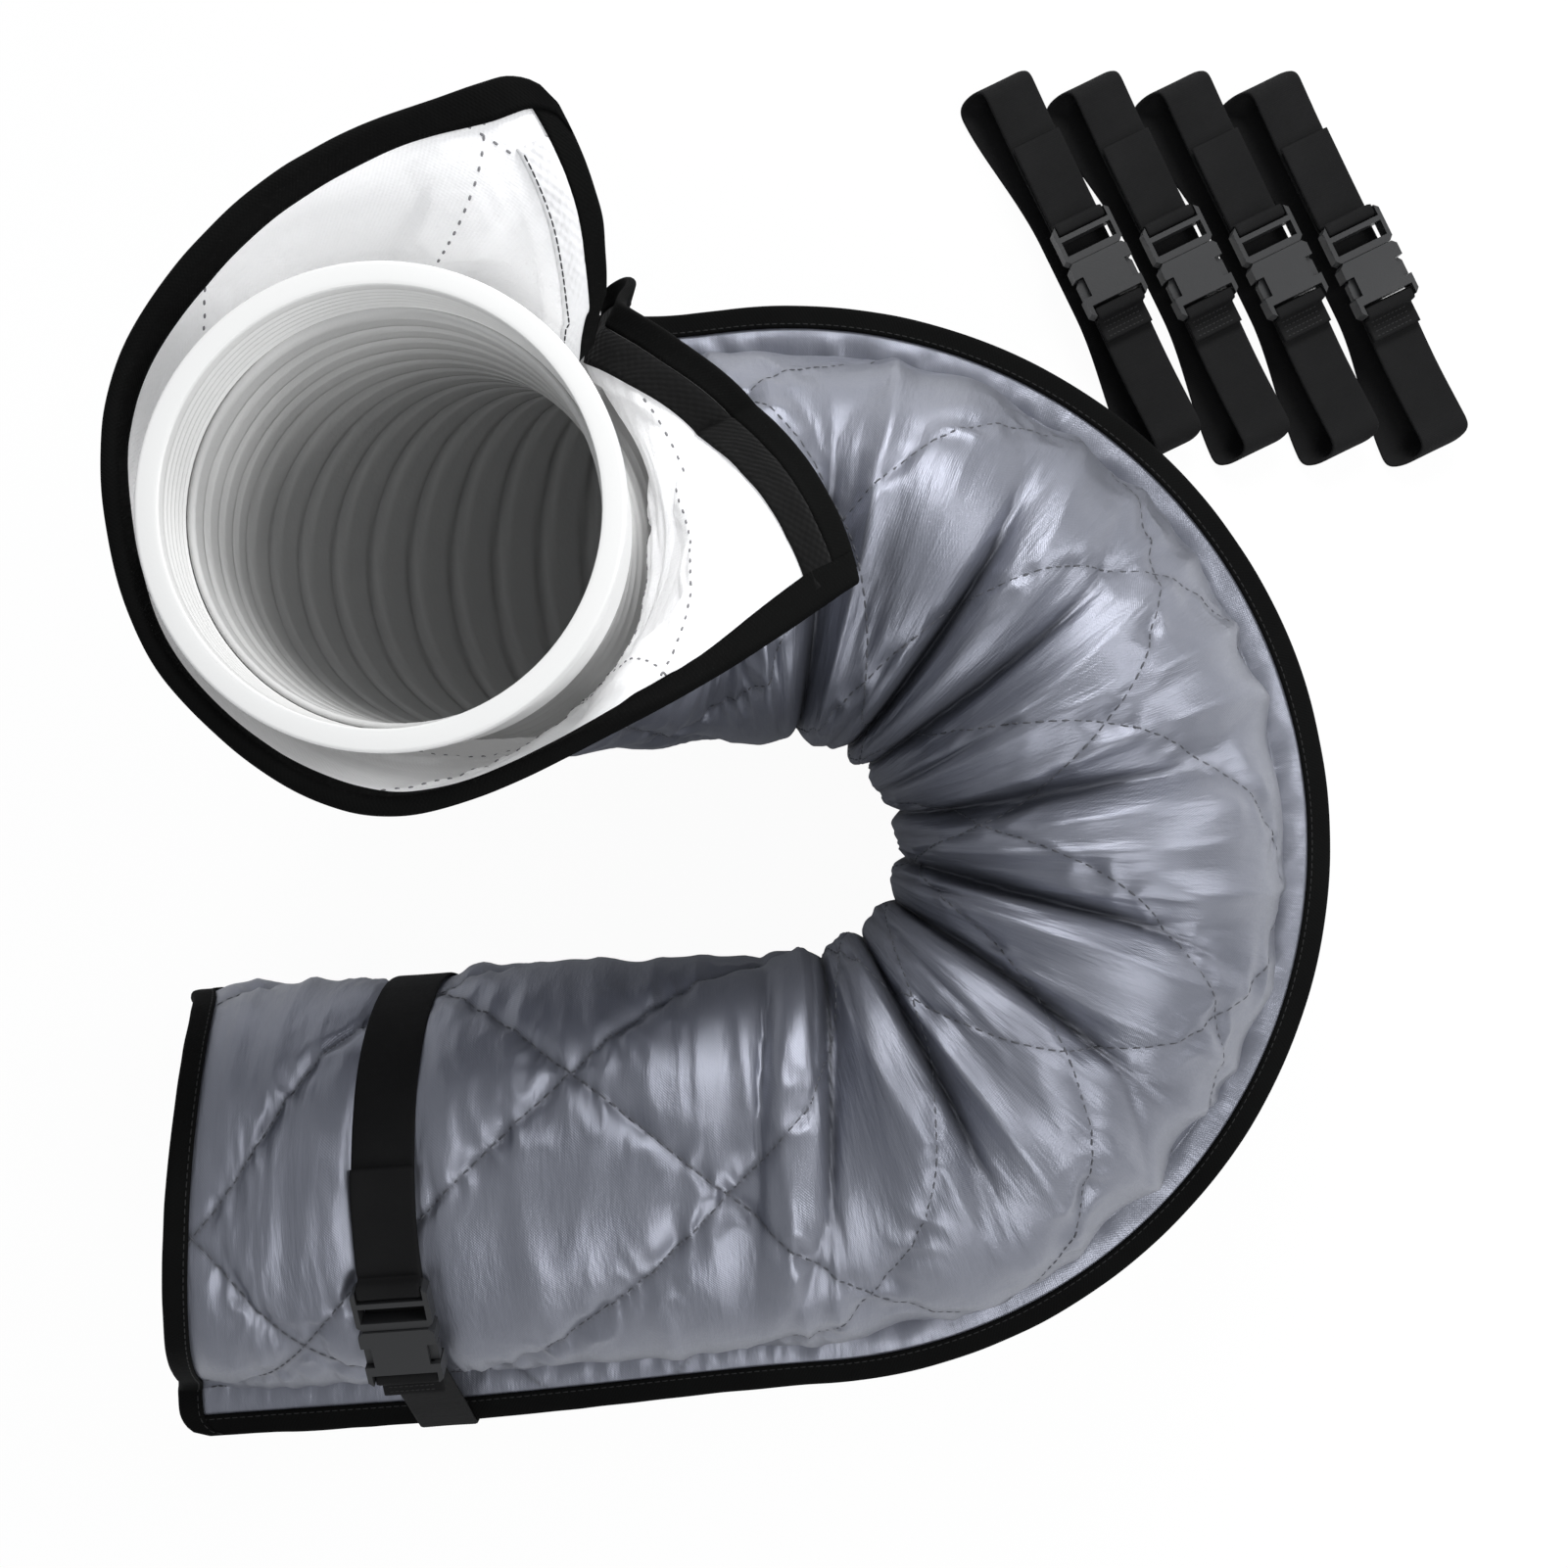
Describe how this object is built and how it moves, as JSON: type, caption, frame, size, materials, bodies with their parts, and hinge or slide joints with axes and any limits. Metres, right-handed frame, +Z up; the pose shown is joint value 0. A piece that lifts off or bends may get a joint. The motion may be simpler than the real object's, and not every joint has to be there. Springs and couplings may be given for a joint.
{
  "type": "insulated flexible air duct",
  "caption": "Ribbed flexible air duct bent through a half turn, with screw-on couplings, in a quilted wrap-round sleeve held by elastic buckle straps.",
  "frame": {"origin": "middle of the bounding box on the surface that the duct and its loose straps lie on", "axes": "+Z up, with the mouth opening upwards; the tail opens towards -X; +Y from the tail leg to the mouth side"},
  "size_m": [0.6068, 0.6422, 0.27],
  "materials": {
    "hose_plastic": "satin white film over a wound rib",
    "coupling_plastic": "white moulded, soft gloss",
    "silver_nylon": "coated silver-grey ripstop nylon, quilted, semi-gloss",
    "wadding": "loose white polyester wadding",
    "lining_fabric": "plain white woven lining, matt",
    "binding_tape": "black woven bias tape, sewn",
    "hook_tape": "black hook tape, bristly",
    "loop_tape": "white loop tape, napped",
    "webbing": "black ribbed elastic webbing",
    "buckle_plastic": "charcoal moulded plastic, fine satin"
  },
  "bodies": {
    "root": {"mouth_coupling": "coupling_plastic", "tail_coupling": "coupling_plastic", "duct_hose": "hose_plastic", "sleeve_shell": "silver_nylon", "sleeve_batting": "wadding", "sleeve_lining": "lining_fabric", "mouth_binding": "binding_tape", "tail_binding": "binding_tape", "upper_edge_binding": "binding_tape", "lower_edge_binding": "binding_tape", "hook_tape": "hook_tape", "loop_tape": "loop_tape", "fitted_strap_webbing": "webbing", "fitted_strap_buckle_housing": "buckle_plastic", "loose_strap_1_webbing": "webbing", "loose_strap_1_buckle_housing": "buckle_plastic", "loose_strap_2_webbing": "webbing", "loose_strap_2_buckle_housing": "buckle_plastic", "loose_strap_3_webbing": "webbing", "loose_strap_3_buckle_housing": "buckle_plastic", "loose_strap_4_webbing": "webbing", "loose_strap_4_buckle_housing": "buckle_plastic"},
    "fitted_strap_plug": {"fitted_strap_buckle_plug": "buckle_plastic", "fitted_strap_free_end": "webbing"},
    "fitted_strap_latch_left": {"fitted_strap_latch_left": "buckle_plastic"},
    "fitted_strap_latch_right": {"fitted_strap_latch_right": "buckle_plastic"},
    "loose_strap_1_plug": {"loose_strap_1_buckle_plug": "buckle_plastic", "loose_strap_1_free_end": "webbing"},
    "loose_strap_1_latch_left": {"loose_strap_1_latch_left": "buckle_plastic"},
    "loose_strap_1_latch_right": {"loose_strap_1_latch_right": "buckle_plastic"},
    "loose_strap_2_plug": {"loose_strap_2_buckle_plug": "buckle_plastic", "loose_strap_2_free_end": "webbing"},
    "loose_strap_2_latch_left": {"loose_strap_2_latch_left": "buckle_plastic"},
    "loose_strap_2_latch_right": {"loose_strap_2_latch_right": "buckle_plastic"},
    "loose_strap_3_plug": {"loose_strap_3_buckle_plug": "buckle_plastic", "loose_strap_3_free_end": "webbing"},
    "loose_strap_3_latch_left": {"loose_strap_3_latch_left": "buckle_plastic"},
    "loose_strap_3_latch_right": {"loose_strap_3_latch_right": "buckle_plastic"},
    "loose_strap_4_plug": {"loose_strap_4_buckle_plug": "buckle_plastic", "loose_strap_4_free_end": "webbing"},
    "loose_strap_4_latch_left": {"loose_strap_4_latch_left": "buckle_plastic"},
    "loose_strap_4_latch_right": {"loose_strap_4_latch_right": "buckle_plastic"}
  },
  "joints": [
    {"name": "fitted_strap_release", "type": "slide", "parent": "root", "child": "fitted_strap_plug", "axis": [-0.0632, 0.9041, 0.4226], "range_m": [0, 0.022], "deforming": ["fitted_strap_latch_left", "fitted_strap_latch_right"]},
    {"name": "fitted_strap_squeeze_left", "type": "hinge", "parent": "fitted_strap_plug", "child": "fitted_strap_latch_left", "pos_m": [-0.17735, -0.24418, 0.16201], "axis": [-0.0295, 0.4216, -0.9063], "range_deg": [0, 13], "stiffness_Nm_per_rad": 0.5},
    {"name": "fitted_strap_squeeze_right", "type": "hinge", "parent": "fitted_strap_plug", "child": "fitted_strap_latch_right", "pos_m": [-0.19511, -0.24543, 0.16201], "axis": [0.0295, -0.4216, 0.9063], "range_deg": [0, 13], "stiffness_Nm_per_rad": 0.5},
    {"name": "loose_strap_1_release", "type": "slide", "parent": "root", "child": "loose_strap_1_plug", "axis": [-0.4384, 0.8988, 0], "range_m": [0, 0.022], "deforming": ["loose_strap_1_latch_left", "loose_strap_1_latch_right"]},
    {"name": "loose_strap_1_squeeze_left", "type": "hinge", "parent": "loose_strap_1_plug", "child": "loose_strap_1_latch_left", "pos_m": [0.12519, 0.22888, 0.02055], "axis": [0, 0, -1], "range_deg": [0, 13], "stiffness_Nm_per_rad": 0.5},
    {"name": "loose_strap_1_squeeze_right", "type": "hinge", "parent": "loose_strap_1_plug", "child": "loose_strap_1_latch_right", "pos_m": [0.10919, 0.22108, 0.02055], "axis": [0, 0, 1], "range_deg": [0, 13], "stiffness_Nm_per_rad": 0.5},
    {"name": "loose_strap_2_release", "type": "slide", "parent": "root", "child": "loose_strap_2_plug", "axis": [-0.4384, 0.8988, 0], "range_m": [0, 0.022], "deforming": ["loose_strap_2_latch_left", "loose_strap_2_latch_right"]},
    {"name": "loose_strap_2_squeeze_left", "type": "hinge", "parent": "loose_strap_2_plug", "child": "loose_strap_2_latch_left", "pos_m": [0.16879, 0.22888, 0.02055], "axis": [0, 0, -1], "range_deg": [0, 13], "stiffness_Nm_per_rad": 0.5},
    {"name": "loose_strap_2_squeeze_right", "type": "hinge", "parent": "loose_strap_2_plug", "child": "loose_strap_2_latch_right", "pos_m": [0.15279, 0.22108, 0.02055], "axis": [0, 0, 1], "range_deg": [0, 13], "stiffness_Nm_per_rad": 0.5},
    {"name": "loose_strap_3_release", "type": "slide", "parent": "root", "child": "loose_strap_3_plug", "axis": [-0.4384, 0.8988, 0], "range_m": [0, 0.022], "deforming": ["loose_strap_3_latch_left", "loose_strap_3_latch_right"]},
    {"name": "loose_strap_3_squeeze_left", "type": "hinge", "parent": "loose_strap_3_plug", "child": "loose_strap_3_latch_left", "pos_m": [0.21239, 0.22888, 0.02055], "axis": [0, 0, -1], "range_deg": [0, 13], "stiffness_Nm_per_rad": 0.5},
    {"name": "loose_strap_3_squeeze_right", "type": "hinge", "parent": "loose_strap_3_plug", "child": "loose_strap_3_latch_right", "pos_m": [0.19639, 0.22108, 0.02055], "axis": [0, 0, 1], "range_deg": [0, 13], "stiffness_Nm_per_rad": 0.5},
    {"name": "loose_strap_4_release", "type": "slide", "parent": "root", "child": "loose_strap_4_plug", "axis": [-0.4384, 0.8988, 0], "range_m": [0, 0.022], "deforming": ["loose_strap_4_latch_left", "loose_strap_4_latch_right"]},
    {"name": "loose_strap_4_squeeze_left", "type": "hinge", "parent": "loose_strap_4_plug", "child": "loose_strap_4_latch_left", "pos_m": [0.25599, 0.22888, 0.02055], "axis": [0, 0, -1], "range_deg": [0, 13], "stiffness_Nm_per_rad": 0.5},
    {"name": "loose_strap_4_squeeze_right", "type": "hinge", "parent": "loose_strap_4_plug", "child": "loose_strap_4_latch_right", "pos_m": [0.23999, 0.22108, 0.02055], "axis": [0, 0, 1], "range_deg": [0, 13], "stiffness_Nm_per_rad": 0.5}
  ],
  "couplings": [
    {"joint": "fitted_strap_squeeze_right", "follows": "fitted_strap_squeeze_left", "ratio": 1},
    {"joint": "loose_strap_1_squeeze_right", "follows": "loose_strap_1_squeeze_left", "ratio": 1},
    {"joint": "loose_strap_2_squeeze_right", "follows": "loose_strap_2_squeeze_left", "ratio": 1},
    {"joint": "loose_strap_3_squeeze_right", "follows": "loose_strap_3_squeeze_left", "ratio": 1},
    {"joint": "loose_strap_4_squeeze_right", "follows": "loose_strap_4_squeeze_left", "ratio": 1}
  ]
}
